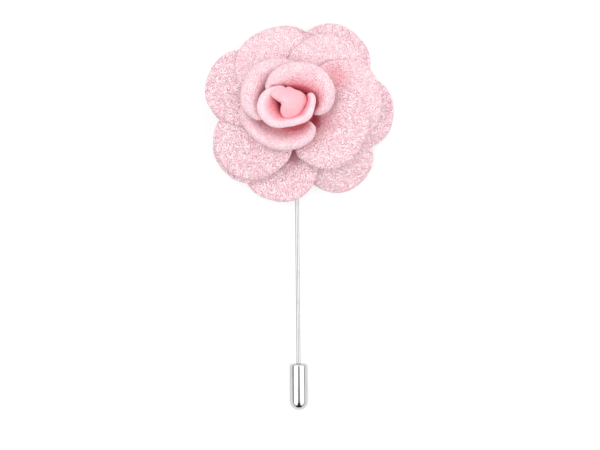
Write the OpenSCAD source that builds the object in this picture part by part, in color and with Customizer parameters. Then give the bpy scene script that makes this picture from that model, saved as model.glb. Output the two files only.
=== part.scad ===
// Fabric flower lapel pin, lying on its back: +Z up, the flower faces +Z, the needle points along -Y.
// The origin is under the middle of the whole pin, on the surface that it lies on.

/* [Cloth] */
// Thickness of the cloth
cloth = 1.0; // [1:0.05:1.1]
// Height from one petal of a layer to the next one that lies on it
overlap_step = 1.45; // [1.4:0.05:1.5]
// How far a spread petal's rim is rolled down
rim_drop = 0.35; // [0:0.05:0.4]

/* [Spread petals] */
// Height of the back layer's petals near the middle
back_z = 4.9; // [4.9:0.1:5]
// Height of the middle layer's petals near the middle
middle_z = 8.4; // [8.4:0.1:8.6]
// Rise of the middle layer's petals outside the rose
middle_rise = 1.2; // [1:0.1:1.6]

/* [Rose] */
// Height of the foot of the cupped petals
cup_foot_z = 10.9; // [10.9:0.1:11.2]
// Height of the bud's tip
bud_top = 20.9; // [20.5:0.1:21.5]

/* [Metal] */
// Diameter of the needle
needle_d = 1.1; // [1:0.05:1.1]
// Diameter of the needle inside the cap
point_d = 0.9; // [0.8:0.05:0.9]
// Diameter of the cap
cap_d = 4.7; // [4.4:0.1:4.8]
// Length of the cap
cap_l = 12.3; // [12:0.1:13]
// Length of the bare needle between the flower's middle and the cap
shank_l = 67.9; // [66:0.1:70]
// Diameter of the pad behind the flower
pad_d = 11; // [10:0.5:12]

/* [Hidden] */
CUPS = ["cup_left", "cup_bottom", "cup_right", "cup_ring"];

PINK = [0.96, 0.80, 0.83];
CHROME = [0.80, 0.81, 0.83];

// Middle of the ring of petals, and the rose's middle measured from it
flower_x = -1.4;
flower_y = 29.05;
rose_x = -1.85;
rose_y = 0.45;

// Spread petals, counter-clockwise: direction, distance of the disc's middle, half length outwards,
// half width on the counter-clockwise and on the clockwise side, roundness of the inner half, tip's droop
DIRECTION = 0;
DISTANCE = 1;
HALF_L = 2;
WIDE_LEFT = 3;
WIDE_RIGHT = 4;
ROUNDNESS = 5;
DROOP = 6;
BACK = [
    [50, 14.0, 11.4, 10.4, 10.4, 1.5, 4.9],
    [104, 12.6, 9.2, 9.6, 9.6, 1.3, 5.0],
    [163, 13.0, 10.2, 9.8, 9.8, 1.3, 4.4],
    [221, 14.0, 11.2, 9.8, 9.8, 1.3, 1.7],
    [256, 14.8, 10.6, 10.1, 10.1, 1.8, 1.6],
    [310, 14.1, 12.6, 10.2, 9.9, 1.3, 4.4],
    [355, 15.2, 11.2, 10.0, 10.0, 1.5, 4.5]];
MIDDLE = [
    [6.5, 12.2, 10.9, 10.7, 10.7, 2.3, 3.2],
    [45, 10.4, 11.8, 10.5, 10.1, 2.3, 3.8],
    [112, 10.8, 10.9, 11.1, 10.6, 2.0, 3.8],
    [161, 13.0, 11.2, 9.6, 10.6, 1.8, 3.8],
    [218, 13.1, 11.1, 10.5, 10.2, 2.3, 3.8],
    [328, 10.3, 10.3, 11.0, 11.0, 3.2, 3.0]];
petal_inner_r = 4.5;
outer_roundness = 2.3;
rim_spokes = 28;
rim_rings = [0.36, 0.64, 0.84, 0.95, 1];
rim_sharpness = 8;

// Distances from the flower's middle between which a layer rises, and between which its petals' tips droop
BACK_RISE = [6, 12];
BACK_FALL = [17, 27];
MIDDLE_RISE = [7, 13];
MIDDLE_FALL = [13, 25];
back_rise = 0.2;

// Cupped petals, a row for each place round the rose: direction, radius and height of the rolled rim,
// radius and height of the foot
RIM_R = 1;
RIM_Z = 2;
FOOT_R = 3;
FOOT_Z = 4;
CUP_LEFT = [
    [70, 10.6, 14.4, 8.0, 0],
    [95, 12.2, 15.0, 7.3, 0],
    [128, 13.2, 16.0, 6.7, 0],
    [155, 12.9, 16.8, 6.5, 0],
    [186, 11.8, 17.0, 6.5, 0],
    [214, 8.9, 16.6, 6.5, 0]];
CUP_BOTTOM = [
    [182, 12.4, 13.6, 8.2, 0.3],
    [205, 12.9, 13.8, 8.2, 0.3],
    [225, 12.6, 14.6, 8.0, 0],
    [250, 12.4, 15.2, 7.8, 0],
    [280, 12.1, 15.4, 7.6, 0],
    [308, 11.6, 15.2, 7.4, 0],
    [322, 9.8, 14.2, 7.2, 0]];
CUP_RIGHT = [
    [-22, 9.0, 15.6, 7.4, 0.4],
    [-4, 12.0, 17.0, 8.2, 0.4],
    [20, 13.2, 17.8, 8.6, 0.4],
    [50, 12.8, 18.2, 7.6, 0],
    [90, 10.4, 18.4, 5.8, 0],
    [133, 7.8, 18.0, 5.2, 0],
    [150, 6.6, 17.2, 5.2, 0]];
CUP_RING = [
    [160, 6.3, 18.2, 3.9, 0],
    [194, 8.0, 18.8, 4.4, 0],
    [235, 7.3, 19.0, 4.2, 0],
    [270, 6.4, 19.0, 3.7, 0],
    [321, 7.2, 19.0, 4.2, 0.6],
    [350, 7.3, 19.0, 4.8, 2.4],
    [376, 8.2, 18.9, 6.0, 4.6],
    [388, 7.4, 18.2, 6.0, 5.4]];
cup_columns = 18;
wall_rows = 6;
roll_rows = 3;
roll_angle = 115;
roll_stretch = 1.2;
wall_lean = 0.2;
shoulder_min = 0.3;
small_step = 0.01;

// Bud, a row for each direction: that direction, radius of the folded flap at its widest
FLAP = [[-96, 3.3], [-60, 3.0], [-27, 3.3], [5, 4.0], [34, 4.0], [95, 3.8], [125, 4.3], [143, 4.5],
    [156, 3.4], [170, 2.3], [195, 1.9], [217, 1.9], [240, 2.4], [264, 3.3]];
// Bud, a row for each level: height, radius of the round core, share of the flap, share of the way from the
// flower's middle to the rose's middle
LEVEL_Z = 0;
CORE_R = 1;
FLAP_SHARE = 2;
LEAN = 3;
LEVELS = [
    [3.8, 1.8, 0, 0.3],
    [10.2, 1.8, 0, 0.3],
    [12.6, 2.6, 0, 1],
    [15.6, 2.9, 0.1, 1],
    [17.5, 3.0, 1, 1],
    [18.7, 2.7, 0.88, 1],
    [19.9, 1.5, 0.5, 1]];
bud_tip = [-0.7, 0.5, bud_top];
bud_columns = 28;

// Solder collar behind the pad, and how far the pad sits above the needle's middle line
solder_d = 1.6;
solder_l = 9.8;
solder_taper_l = 0.6;
pad_t = 0.9;
pad_lift = 0.25;
pad_sides = 48;
wire_sides = 32;

// Inside of the cap: the needle's neck, its narrow end and its tip, in a blind bore
running_gap = 0.05;
neck_l = 0.8;
narrow_l = 7.8;
tip_l = 1.4;
tip_d = 0.1;
bore_spare = 0.8;
bore_depth = neck_l + narrow_l + tip_l + bore_spare;
mouth_edge = 0.4;

needle_off_x = 0.45;
needle_x = flower_x + needle_off_x;
needle_z = cap_d / 2;
cap_mouth_y = flower_y - shank_l;
solder_end_y = flower_y - pad_d / 2 - solder_taper_l;
bare_l = solder_end_y - solder_taper_l - cap_mouth_y;

// Smooth step from 0 at the start of a stretch to 1 at its end
function ease(stretch, x) =
    let (t = max(0, min(1, (x - stretch[0]) / (stretch[1] - stretch[0])))) t * t * (3 - 2 * t);

// Height of a layer at distance r from the middle, for a petal with the given droop
function back_height(r, droop) =
    back_z + back_rise * ease(BACK_RISE, r) - droop * ease(BACK_FALL, r);
function middle_height(r, droop) =
    middle_z + middle_rise * ease(MIDDLE_RISE, r) - droop * ease(MIDDLE_FALL, r);

// How many petals lie below at an angle, so that each petal lies on its counter-clockwise neighbour
function turns(table) = let (n = len(table)) [for (k = [-n:2 * n - 1])
    [table[(k + n) % n][DIRECTION] + 360 * floor(k / n), k]];

// Distance from a disc's middle to its rim, towards the angle a
function rim_distance(p, a) =
    let (
        inner = cos(a) < 0,
        n = inner ? p[ROUNDNESS] : outer_roundness,
        l = inner ? p[DISTANCE] - petal_inner_r : p[HALF_L],
        w = sin(a) > 0 ? p[WIDE_LEFT] : p[WIDE_RIGHT]
    ) 1 / pow(pow(abs(cos(a)) / l, n) + pow(abs(sin(a)) / w, n), 1 / n);

// Top of petal i of a layer at a share t of the way to its rim
function petal_top(table, i, t, a, middle) =
    let (
        p = table[i],
        d = t * rim_distance(p, a),
        u = p[DISTANCE] + d * cos(a),
        v = d * sin(a),
        r = norm([u, v]),
        off = atan2(v, u),
        at = p[DIRECTION] + off,
        step = overlap_step * (lookup(at, turns(table)) - i),
        base = middle ? middle_height(r, p[DROOP]) : back_height(r, p[DROOP]),
        z = base + cloth + step - rim_drop * pow(t, rim_sharpness)
    ) [r * cos(at), r * sin(at), z];

// Closed solid between two nets of points: a middle point, then rings of n points
module disc_solid(top, bottom, n, rings) {
    count = len(top);
    last = 1 + (rings - 1) * n;
    faces = [
        for (k = [0:n - 1]) let (m = (k + 1) % n) each concat(
            [[0, 1 + m, 1 + k], [count, count + 1 + k, count + 1 + m]],
            [for (j = [0:rings - 2]) let (a = 1 + j * n, b = a + n) each [
                [a + k, a + m, b + m], [a + k, b + m, b + k],
                [count + a + k, count + b + m, count + a + m],
                [count + a + k, count + b + k, count + b + m]]],
            [[last + k, last + m, count + last + m], [last + k, count + last + m, count + last + k]])];
    polyhedron(concat(top, bottom), faces);
}

// Closed solid between two grids of points with the given number of columns
module sheet_solid(front, back, columns) {
    count = len(front);
    rows = count / columns;
    function at(j, i) = j * columns + i;
    rim = concat(
        [for (i = [0:columns - 1]) at(0, i)],
        [for (j = [1:rows - 1]) at(j, columns - 1)],
        [for (i = [columns - 2:-1:0]) at(rows - 1, i)],
        [for (j = [rows - 2:-1:1]) at(j, 0)]);
    faces = concat(
        [for (j = [0:rows - 2], i = [0:columns - 2]) each [
            [at(j, i), at(j + 1, i), at(j + 1, i + 1)], [at(j, i), at(j + 1, i + 1), at(j, i + 1)],
            [count + at(j, i), count + at(j + 1, i + 1), count + at(j + 1, i)],
            [count + at(j, i), count + at(j, i + 1), count + at(j + 1, i + 1)]]],
        [for (k = [0:len(rim) - 1]) let (a = rim[k], b = rim[(k + 1) % len(rim)]) each [
            [a, b, count + b], [a, count + b, count + a]]]);
    polyhedron(concat(front, back), faces);
}

module spread_petal(table, i, middle) {
    top = concat([petal_top(table, i, 0, 0, middle)],
        [for (t = rim_rings, k = [0:rim_spokes - 1]) petal_top(table, i, t, 360 * k / rim_spokes, middle)]);
    bottom = [for (p = top) p - [0, 0, cloth]];
    color(PINK) translate([flower_x, flower_y, 0]) disc_solid(top, bottom, rim_spokes, len(rim_rings));
}

// Value of a table's column at an angle, level by level between the table's rows
function along(table, column, a) = lookup(a, [for (row = table) [row[0], row[column]]]);

// Middle of a cupped petal's section at an angle, from the foot up the wall and over the rim, at step s:
// [radius, height]. The band is how far in the rim stays nearly level, the roll is its rolled edge's radius.
function cup_section(table, band, roll, a, s) =
    let (
        crest = [along(table, RIM_R, a) - cloth / 2 - roll, along(table, RIM_Z, a) - cloth / 2],
        foot = [along(table, FOOT_R, a), cup_foot_z + along(table, FOOT_Z, a)],
        wall = [foot[0] + wall_lean, (foot[1] + crest[1]) / 2],
        shoulder = [max(foot[0] + shoulder_min, crest[0] - band), crest[1]],
        t = s / wall_rows,
        u = 1 - t,
        turn = roll_angle * (s - wall_rows) / roll_rows
    )
    s <= wall_rows
        ? u * u * u * foot + 3 * u * u * t * wall + 3 * u * t * t * shoulder + t * t * t * crest
        : crest + roll * [sin(turn), -roll_stretch * (1 - cos(turn))];

module cup(table, band, roll) {
    from = table[0][0];
    to = table[len(table) - 1][0];
    function point(i, s, side) =
        let (
            a = from + (to - from) * i / (cup_columns - 1),
            p = cup_section(table, band, roll, a, s),
            q = cup_section(table, band, roll, a, s + small_step),
            d = (q - p) / norm(q - p),
            m = p + side * cloth / 2 * [-d[1], d[0]]
        ) [m[0] * cos(a), m[0] * sin(a), m[1]];
    function face(side) = [for (s = [0:wall_rows + roll_rows], i = [0:cup_columns - 1]) point(i, s, side)];
    color(PINK) translate([flower_x + rose_x, flower_y + rose_y, 0])
        sheet_solid(face(-1), face(1), cup_columns);
}

// Folded cone: rings that change from a round core to the outline of the flap, closed by the tip
module bud() {
    n = bud_columns;
    rows = len(LEVELS);
    points = concat(
        [for (row = LEVELS, k = [0:n - 1])
            let (
                a = 360 * k / n - 90,
                r = row[CORE_R] * (1 - row[FLAP_SHARE]) + along(FLAP, 1, a) * row[FLAP_SHARE],
                back = row[LEAN] - 1
            ) [r * cos(a) + rose_x * back, r * sin(a) + rose_y * back, row[LEVEL_Z]]],
        [bud_tip]);
    faces = concat(
        [[for (k = [0:n - 1]) k]],
        [for (j = [0:rows - 2], k = [0:n - 1]) let (m = (k + 1) % n) each [
            [j * n + k, (j + 1) * n + m, j * n + m], [j * n + k, (j + 1) * n + k, (j + 1) * n + m]]],
        [for (k = [0:n - 1]) [(rows - 1) * n + k, rows * n, (rows - 1) * n + (k + 1) % n]]);
    color(PINK) translate([flower_x + rose_x, flower_y + rose_y, 0]) polyhedron(points, faces);
}

// Turns a shape that stands on its foot so that it points along -Y from y on the needle's line
module along_needle(y) translate([needle_x, y, needle_z]) rotate([90, 0, 0]) children();

// Needle soldered to its pad, with a narrower end that the cap slides over
module pin_stem() {
    $fn = wire_sides;
    color(CHROME) {
        translate([flower_x, flower_y, needle_z + pad_lift]) cylinder(h = pad_t, d = pad_d, $fn = pad_sides);
        along_needle(solder_end_y + solder_l) cylinder(h = solder_l, d = solder_d);
        along_needle(solder_end_y) cylinder(h = solder_taper_l, d1 = solder_d, d2 = needle_d);
        along_needle(cap_mouth_y + bare_l) cylinder(h = bare_l, d = needle_d);
        along_needle(cap_mouth_y) {
            cylinder(h = neck_l, d1 = needle_d, d2 = point_d);
            translate([0, 0, neck_l]) cylinder(h = narrow_l, d = point_d);
            translate([0, 0, neck_l + narrow_l]) cylinder(h = tip_l, d1 = point_d, d2 = tip_d);
        }
    }
}

// Cap with a rounded mouth, a domed end and a blind bore
module cap() {
    r = cap_d / 2;
    bore_r = point_d / 2 + running_gap;
    mouth_r = needle_d / 2 + running_gap;
    mouth_l = neck_l + running_gap;
    profile = concat(
        [[bore_r, mouth_l], [mouth_r, mouth_l], [mouth_r, 0]],
        [for (a = [0:30:90]) [r - mouth_edge + mouth_edge * sin(a), mouth_edge - mouth_edge * cos(a)]],
        [for (a = [0:10:80]) [r * cos(a), cap_l - r + r * sin(a)]],
        [[0, cap_l], [0, bore_depth], [bore_r, bore_depth]]);
    color(CHROME) along_needle(cap_mouth_y) rotate_extrude($fn = pad_sides) polygon(profile);
}

for (i = [0:len(BACK) - 1])
    spread_petal(BACK, i, false);
for (i = [0:len(MIDDLE) - 1])
    spread_petal(MIDDLE, i, true);
cup(CUP_LEFT, 3.2, 1.3);  // cup_left
cup(CUP_BOTTOM, 1.8, 0.95);  // cup_bottom
cup(CUP_RIGHT, 2.6, 1.2);  // cup_right
cup(CUP_RING, 0.4, 0.8);  // cup_ring
bud();
pin_stem();
cap();
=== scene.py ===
# %% [markdown]
# # A fabric flower on a lapel pin
# The flower is made of round petals, cut from crepe cloth, pressed into shape and stacked round a
# folded bud. Behind it a metal pad is soldered to a needle, and a metal cap slides over the point.
# The frame holds the plain solids of all of this. Each piece is dressed here in its own real shape
# and finish, in the place where its solid is.

# %% Load the frame
import math
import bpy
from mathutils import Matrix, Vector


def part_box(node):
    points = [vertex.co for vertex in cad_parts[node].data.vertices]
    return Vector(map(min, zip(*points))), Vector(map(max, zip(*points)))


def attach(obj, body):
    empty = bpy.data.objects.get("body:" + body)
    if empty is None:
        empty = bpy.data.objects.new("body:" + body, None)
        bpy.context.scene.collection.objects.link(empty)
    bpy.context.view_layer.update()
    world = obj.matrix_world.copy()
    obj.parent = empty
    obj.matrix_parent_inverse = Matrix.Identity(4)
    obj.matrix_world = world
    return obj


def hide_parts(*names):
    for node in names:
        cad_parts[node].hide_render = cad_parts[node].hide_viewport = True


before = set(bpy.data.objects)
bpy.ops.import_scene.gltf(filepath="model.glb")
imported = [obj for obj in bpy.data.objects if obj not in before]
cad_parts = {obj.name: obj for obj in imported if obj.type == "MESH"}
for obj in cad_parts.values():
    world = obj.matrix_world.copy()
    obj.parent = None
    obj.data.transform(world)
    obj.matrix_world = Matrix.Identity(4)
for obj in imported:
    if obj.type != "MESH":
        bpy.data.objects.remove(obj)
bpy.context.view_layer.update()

from types import SimpleNamespace

import bmesh
import bpy
from mathutils import Vector, noise

MM = 0.001
FLOWER = "flower_and_needle"
print("nodes in the frame:", len(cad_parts))

# %% [markdown]
# ## Places
# The pad, which is the widest part of the metal, is centred under the flower, and the cap lies on the
# needle's own line. So two boxes of the frame give the centres, in millimetres, because a pin is small
# and its sizes read best that way. Only the rose of cupped petals is set off a little from the
# flower's middle, to the left and back, as the petals were glued on by hand.

# %% Centres of the flower, the rose and the needle
ROSE_LEFT = 1.85
ROSE_BACK = 0.45
stem_low, stem_high = [Vector(corner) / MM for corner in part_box("pin_stem")]
cap_low, cap_high = [Vector(corner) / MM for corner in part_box("cap")]
pad_r = (stem_high.x - stem_low.x) / 2
flower_x = (stem_high.x + stem_low.x) / 2
flower_y = stem_high.y - pad_r
rose_x = flower_x - ROSE_LEFT
rose_y = flower_y + ROSE_BACK
cap_r = (cap_high.x - cap_low.x) / 2
needle_x = (cap_high.x + cap_low.x) / 2
needle_z = (cap_high.z + cap_low.z) / 2
print(f"flower at {flower_x:.2f} {flower_y:.2f} mm, rose at {rose_x:.2f} {rose_y:.2f} mm")
print(f"needle at x {needle_x:.2f} z {needle_z:.2f} mm, cap {2 * cap_r:.1f} mm across")

# %% [markdown]
# ## Reading a table
# The petals' heights and widths come from short tables. A table's column is read at any angle by
# joining its rows with straight lines, and the mean of a few readings near that angle takes the
# corners off, as stiff cloth does by itself. A smooth step bends one height into another.


# %% Smooth step and smooth reading of a table
READINGS_A_SIDE = 4


def ease(start, end, x):
    """Goes from 0 at the start to 1 at the end without a corner."""
    t = min(1.0, max(0.0, (x - start) / (end - start)))
    return t * t * (3 - 2 * t)


def straight(rows, x):
    """Reads y at x from (x, y) rows joined by straight lines."""
    if x <= rows[0][0]:
        return rows[0][1]
    for (x0, y0), (x1, y1) in zip(rows, rows[1:]):
        if x <= x1:
            return y0 + (y1 - y0) * (x - x0) / (x1 - x0)
    return rows[-1][1]


def smooth(rows, x, reach):
    """Mean of a few readings from x - reach to x + reach."""
    shifts = [reach * k / READINGS_A_SIDE for k in range(-READINGS_A_SIDE, READINGS_A_SIDE + 1)]
    return sum(straight(rows, x + shift) for shift in shifts) / len(shifts)


print("a smooth step, a quarter of the way along:", ease(0, 1, 0.25))

# %% [markdown]
# ## Round meshes
# Petals, bud, needle and cap are all round in some way. Each starts as one line of points that the
# spin operator carries round an axis, which gives even rings and no seam. Merging the points that fall
# together closes the poles. A finished mesh becomes an object that rides on a body of the frame.


# %% Spin a line into a round mesh
SAME_PLACE = 1e-7


def spun(profile, steps, axis, centre=(0, 0, 0)):
    """Spins a line of points once round an axis and closes its poles."""
    bm = bmesh.new()
    verts = [bm.verts.new(point) for point in profile]
    edges = [bm.edges.new(pair) for pair in zip(verts, verts[1:])]
    bmesh.ops.spin(bm, geom=verts + edges, cent=centre, axis=axis, angle=2 * math.pi, steps=steps,
                   use_merge=True)
    bmesh.ops.remove_doubles(bm, verts=bm.verts, dist=SAME_PLACE)
    return bm


def piece(bm, name, material, body):
    """Makes a mesh into a smooth piece that rides on a body."""
    mesh = bpy.data.meshes.new(name)
    bm.to_mesh(mesh)
    bm.free()
    for face in mesh.polygons:
        face.use_smooth = True
    obj = bpy.data.objects.new(name, mesh)
    bpy.context.scene.collection.objects.link(obj)
    mesh.materials.append(material)
    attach(obj, body)
    print(f"{name}: {len(mesh.polygons)} faces before its modifiers")
    return obj


trial = spun([(0, 0, 0), (1, 0, 0)], 8, (0, 0, 1))
print("a line spun in 8 steps makes a disc of", len(trial.faces), "faces")
trial.free()

# %% [markdown]
# ## Recipes for materials
# A finish is worked out as sums on values that change over the surface. Nodes could be placed and
# joined by hand, but a weave needs dozens. One small class wraps a node's output instead, so that such
# a sum is written as plain Python, and adds the Math nodes itself.


# %% Wires that do sums
class Wire:
    """An output of a material's nodes. Sums and products of wires add Math nodes."""

    def __init__(self, tree, socket=None):
        self.tree = tree
        self.socket = socket

    def node(self, kind, settings=None, sockets=None, out=0):
        """Adds a node: its settings first, then its sockets. Returns one of its outputs."""
        made = self.tree.nodes.new(kind)
        for name, value in (settings or {}).items():
            setattr(made, name, value)
        for name, value in (sockets or {}).items():
            if isinstance(value, Wire):
                self.tree.links.new(value.socket, made.inputs[name])
            else:
                made.inputs[name].default_value = value
        return Wire(self.tree, made.outputs[out])

    def sum(self, operation, a, b=0.0):
        """Adds a Math node."""
        return self.node("ShaderNodeMath", {"operation": operation}, {0: a, 1: b})

    def __add__(self, other):
        return self.sum("ADD", self, other)

    def __sub__(self, other):
        return self.sum("SUBTRACT", self, other)

    def __rsub__(self, other):
        return self.sum("SUBTRACT", other, self)

    def __mul__(self, other):
        return self.sum("MULTIPLY", self, other)

    def __truediv__(self, other):
        return self.sum("DIVIDE", self, other)

    def __pow__(self, other):
        return self.sum("POWER", self, other)

    __radd__ = __add__
    __rmul__ = __mul__

    def floor(self):
        return self.sum("FLOOR", self)

    def absolute(self):
        return self.sum("ABSOLUTE", self)

    def sine(self):
        return self.sum("SINE", self)

    def or_higher(self, other):
        return self.sum("MAXIMUM", self, other)

    def step(self, start, end):
        """Goes smoothly from 0 where this wire is start to 1 where it is end."""
        return self.node("ShaderNodeMapRange", {"interpolation_type": "SMOOTHSTEP"},
                         {"Value": self, "From Min": start, "From Max": end})

    def mix(self, colour_a, colour_b):
        """Colour a where this wire is 0, colour b where it is 1."""
        # The Mix node numbers its colour inputs 6 and 7, and its colour output 2.
        return self.node("ShaderNodeMix", {"data_type": "RGBA"}, {0: self, 6: colour_a, 7: colour_b}, 2)


print("a wire can add, subtract, multiply, divide, raise to a power, step and mix")

# %% [markdown]
# A finish starts from the principled shader. What is the same all over is set on the shader's own
# sockets, and only what changes over the surface is wired.


# %% Start a finish
def new_finish(name, **constants):
    """Starts a material: its first wire and its shader, with the sockets that stay the same all over."""
    material = bpy.data.materials.new(name)
    material.use_nodes = True
    tree = material.node_tree
    shader = tree.nodes["Principled BSDF"]
    for socket, value in constants.items():
        shader.inputs[socket.replace("_", " ")].default_value = value
    print("finish:", name)
    return material, Wire(tree), shader


def feed(shader, socket, wire):
    """Connects a wire to one of the shader's sockets."""
    wire.tree.links.new(wire.socket, shader.inputs[socket])


# %% [markdown]
# ## The weave
# The cloth is a crepe: a plain weave of uneven, hard-twisted threads. From close by it shows a
# checkerboard of small bulges, one for each crossing, a dark pore between every four of them, and
# threads that swell and thin out along their length. A stock noise would look like sand, so the weave
# is worked out thread by thread. It follows a UV map in flat millimetres of cloth, so that it bends
# with the petal, and a slow noise sways the threads, because no real thread runs quite straight.

# %% Where a place lies among the threads
THREAD_PITCH = 0.45
SWAY = 1.4
SWAY_SCALE = 0.5
SWAY_DETAIL = 4.0


def thread_numbers(start):
    """Numbers of the warp and the weft thread at a place, counted across the cloth, and the flat place."""
    flat = start.node("ShaderNodeUVMap", {"uv_map": "cloth"})
    sway = start.node("ShaderNodeTexNoise", {"noise_dimensions": "2D"},
                      {"Vector": flat, "Scale": SWAY_SCALE, "Detail": SWAY_DETAIL}, "Color")
    sway = start.node("ShaderNodeVectorMath", {"operation": "SUBTRACT"}, {0: sway, 1: (0.5, 0.5, 0.5)})
    sway = start.node("ShaderNodeVectorMath", {"operation": "SCALE"}, {0: sway, "Scale": SWAY})
    place = start.node("ShaderNodeVectorMath", {"operation": "ADD"}, {0: flat, 1: sway})
    warp = start.node("ShaderNodeSeparateXYZ", {}, {"Vector": place}, "X") / THREAD_PITCH
    weft = start.node("ShaderNodeSeparateXYZ", {}, {"Vector": place}, "Y") / THREAD_PITCH
    return warp, weft, flat


print("crepe: a thread every", THREAD_PITCH, "mm")

# %% [markdown]
# No two threads of a crepe are alike. What is uneven about them is read from noises at whole thread
# numbers: a tone along each thread, a grain for each crossing, and a chance depth for each pore.

# %% Uneven threads
THREAD_APART = 7.3
TONE_ALONG = 1.2


def thread_tone(start, number, way):
    """Tone of one thread, which changes along its way."""
    spot = start.node("ShaderNodeCombineXYZ", {},
                      {"X": number.floor() * THREAD_APART, "Y": way * TONE_ALONG})
    return start.node("ShaderNodeTexNoise", {"noise_dimensions": "2D"},
                      {"Vector": spot, "Scale": 1.0, "Detail": 1.0})


def chance(start, column, row):
    """A chance value for each whole column and row."""
    spot = start.node("ShaderNodeCombineXYZ", {}, {"X": column, "Y": row})
    return start.node("ShaderNodeTexWhiteNoise", {"noise_dimensions": "2D"}, {"Vector": spot})


print(f"a thread's tone changes about every {THREAD_PITCH / TONE_ALONG:.2f} mm along it")

# %% [markdown]
# The sine of a thread's number is its round back. The product of both sines is above 0 at every second
# crossing, as on a chessboard, and there the warp lies on top. Where both backs are low, four threads
# meet and leave a pore.

# %% Weave of two sets of threads
TOP_EDGE = 0.05
WEFT_SHIFT = 50
THREAD_SHARE = 0.35
GRAIN_SHARE = 0.4
WARP_SHARE = 0.25
TONE_ENDS = (0.26, 0.74)
PORE_EDGE = (0.1, 0.52)
PORE_CHANCE = (0.15, 0.65)


def weave(start):
    """Bulge of the weave, tone of the thread on top, pores with a chance depth, and the flat place."""
    warp, weft, flat = thread_numbers(start)
    warp_wave = (warp * math.pi).sine()
    weft_wave = (weft * math.pi).sine()
    warp_top = (warp_wave * weft_wave).step(-TOP_EDGE, TOP_EDGE)
    across = warp_wave.absolute()
    along = weft_wave.absolute()
    tone = warp_top * thread_tone(start, warp, weft)
    tone = tone + (1 - warp_top) * thread_tone(start, weft, warp + WEFT_SHIFT)
    grain = chance(start, warp.floor(), weft.floor() + 0.5)
    tone = THREAD_SHARE * tone + GRAIN_SHARE * grain + WARP_SHARE * warp_top
    depth = chance(start, (warp + 0.5).floor(), (weft + 0.5).floor())
    pore = (1 - across.or_higher(along)).step(*PORE_EDGE) * depth.step(*PORE_CHANCE)
    return (across * along) ** 0.5, tone.step(*TONE_ENDS), pore, flat


print("weave: threads, grain and warp share the tone as", THREAD_SHARE, GRAIN_SHARE, WARP_SHARE)

# %% [markdown]
# ## The petals' crepe
# Each thread's tone lies at random between a pink and a near white painted highlight, the seams
# between threads get a pinker painted shade, and the pores are a dark red. Light that falls between
# the petals is thrown from pink to pink, so the shade in a hollow is painted into the colour as a
# deeper pink, and the narrowest gaps get a nearly red painted shade. A vertex attribute carries how
# much painted shade each point gets, and a slow noise, the cloud, keeps large petals from looking
# printed.

# %% Pinks of the cloth
THREAD_PINK = (0.91, 0.555, 0.62, 1)
THREAD_HIGHLIGHT = (1.0, 0.92, 0.94, 1)
SEAM_SHADE_AND_CLOUD_PINK = (0.88, 0.47, 0.54, 1)
PORE_PINK = (0.42, 0.12, 0.17, 1)
SHADE_AND_TINT_PINK = (0.98, 0.38, 0.43, 1)
PAINTED_GAP_SHADE = (0.75, 0.12, 0.17, 1)
SHADE_AND_TINT_SHARE = 0.8
CLOUD_DETAIL = 3.0


def cloud_and_shade_and_tint(start, flat, scale):
    """A slow noise over the cloth, and each point's painted shade, which on the bud is also its flat tint."""
    cloud = start.node("ShaderNodeTexNoise", {"noise_dimensions": "2D"},
                       {"Vector": flat, "Scale": scale, "Detail": CLOUD_DETAIL})
    return cloud, start.node("ShaderNodeAttribute", {"attribute_name": "painted_shade_and_tint"}, out="Fac")


print("pinks: threads", THREAD_PINK[:3], "shades_and_tints", SHADE_AND_TINT_PINK[:3])

# %% [markdown]
# One crepe would do for all petals, but its contrast is painted light. So there are three contrasts:
# strong on most petals, as painted shade, softer on those that are lit full on, as painted light, and
# faint on the cups, whose bands are lit. The bump gives each thread a round back of about a tenth of a
# millimetre.

# %% Crepe cloth
SEAM_SHADE_SHARE = 0.55
CLOUD_SCALE = 0.3
CLOUD_EDGE = (0.4, 0.8)
CLOUD_SHARE = 0.15
GAP_SHADE_FROM = 0.85
GAP_SHADE_SHARE = 0.7
PORE_SHARE = 0.95
CREPE_ROUGH = 0.75
PORE_ROUGH = 0.2
TONE_BUMP = 0.4
PORE_BUMP = 0.5
CREPE_BUMP = 0.6
THREAD_HEIGHT = 0.12


def crepe_cloth(name, contrast):
    material, start, shader = new_finish(name, Specular_IOR_Level=0.03)
    bulge, tone, pore, flat = weave(start)
    cloud, painted_shade_and_tint = cloud_and_shade_and_tint(start, flat, CLOUD_SCALE)
    # Thread tone, at random, with painted highlights at its near white end; its contrast is painted light.
    colour = (0.5 + (tone - 0.5) * contrast).mix(THREAD_PINK, THREAD_HIGHLIGHT)
    # Painted shade in the seams between threads.
    colour = ((1 - bulge) * SEAM_SHADE_SHARE).mix(colour, SEAM_SHADE_AND_CLOUD_PINK)
    # The cloud, a random tone, takes the same pinker colour.
    colour = (cloud.step(*CLOUD_EDGE) * CLOUD_SHARE).mix(colour, SEAM_SHADE_AND_CLOUD_PINK)
    # Painted shade: a deeper pink in the hollows and near the rose.
    colour = (painted_shade_and_tint * SHADE_AND_TINT_SHARE).mix(colour, SHADE_AND_TINT_PINK)
    # Painted shade of nearly red in the narrowest gaps.
    colour = (painted_shade_and_tint.step(GAP_SHADE_FROM, 1.0) * GAP_SHADE_SHARE).mix(colour, PAINTED_GAP_SHADE)
    # The pores show more in the painted shade.
    shown = contrast + painted_shade_and_tint * (1 - contrast)
    feed(shader, "Base Color", (pore * PORE_SHARE * shown).mix(colour, PORE_PINK))
    feed(shader, "Roughness", CREPE_ROUGH + PORE_ROUGH * pore)
    height = bulge * (1 - TONE_BUMP + TONE_BUMP * tone) - pore * PORE_BUMP
    bump = start.node("ShaderNodeBump", {},
                      {"Height": height, "Strength": CREPE_BUMP, "Distance": THREAD_HEIGHT * MM})
    feed(shader, "Normal", bump)
    return material


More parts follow.
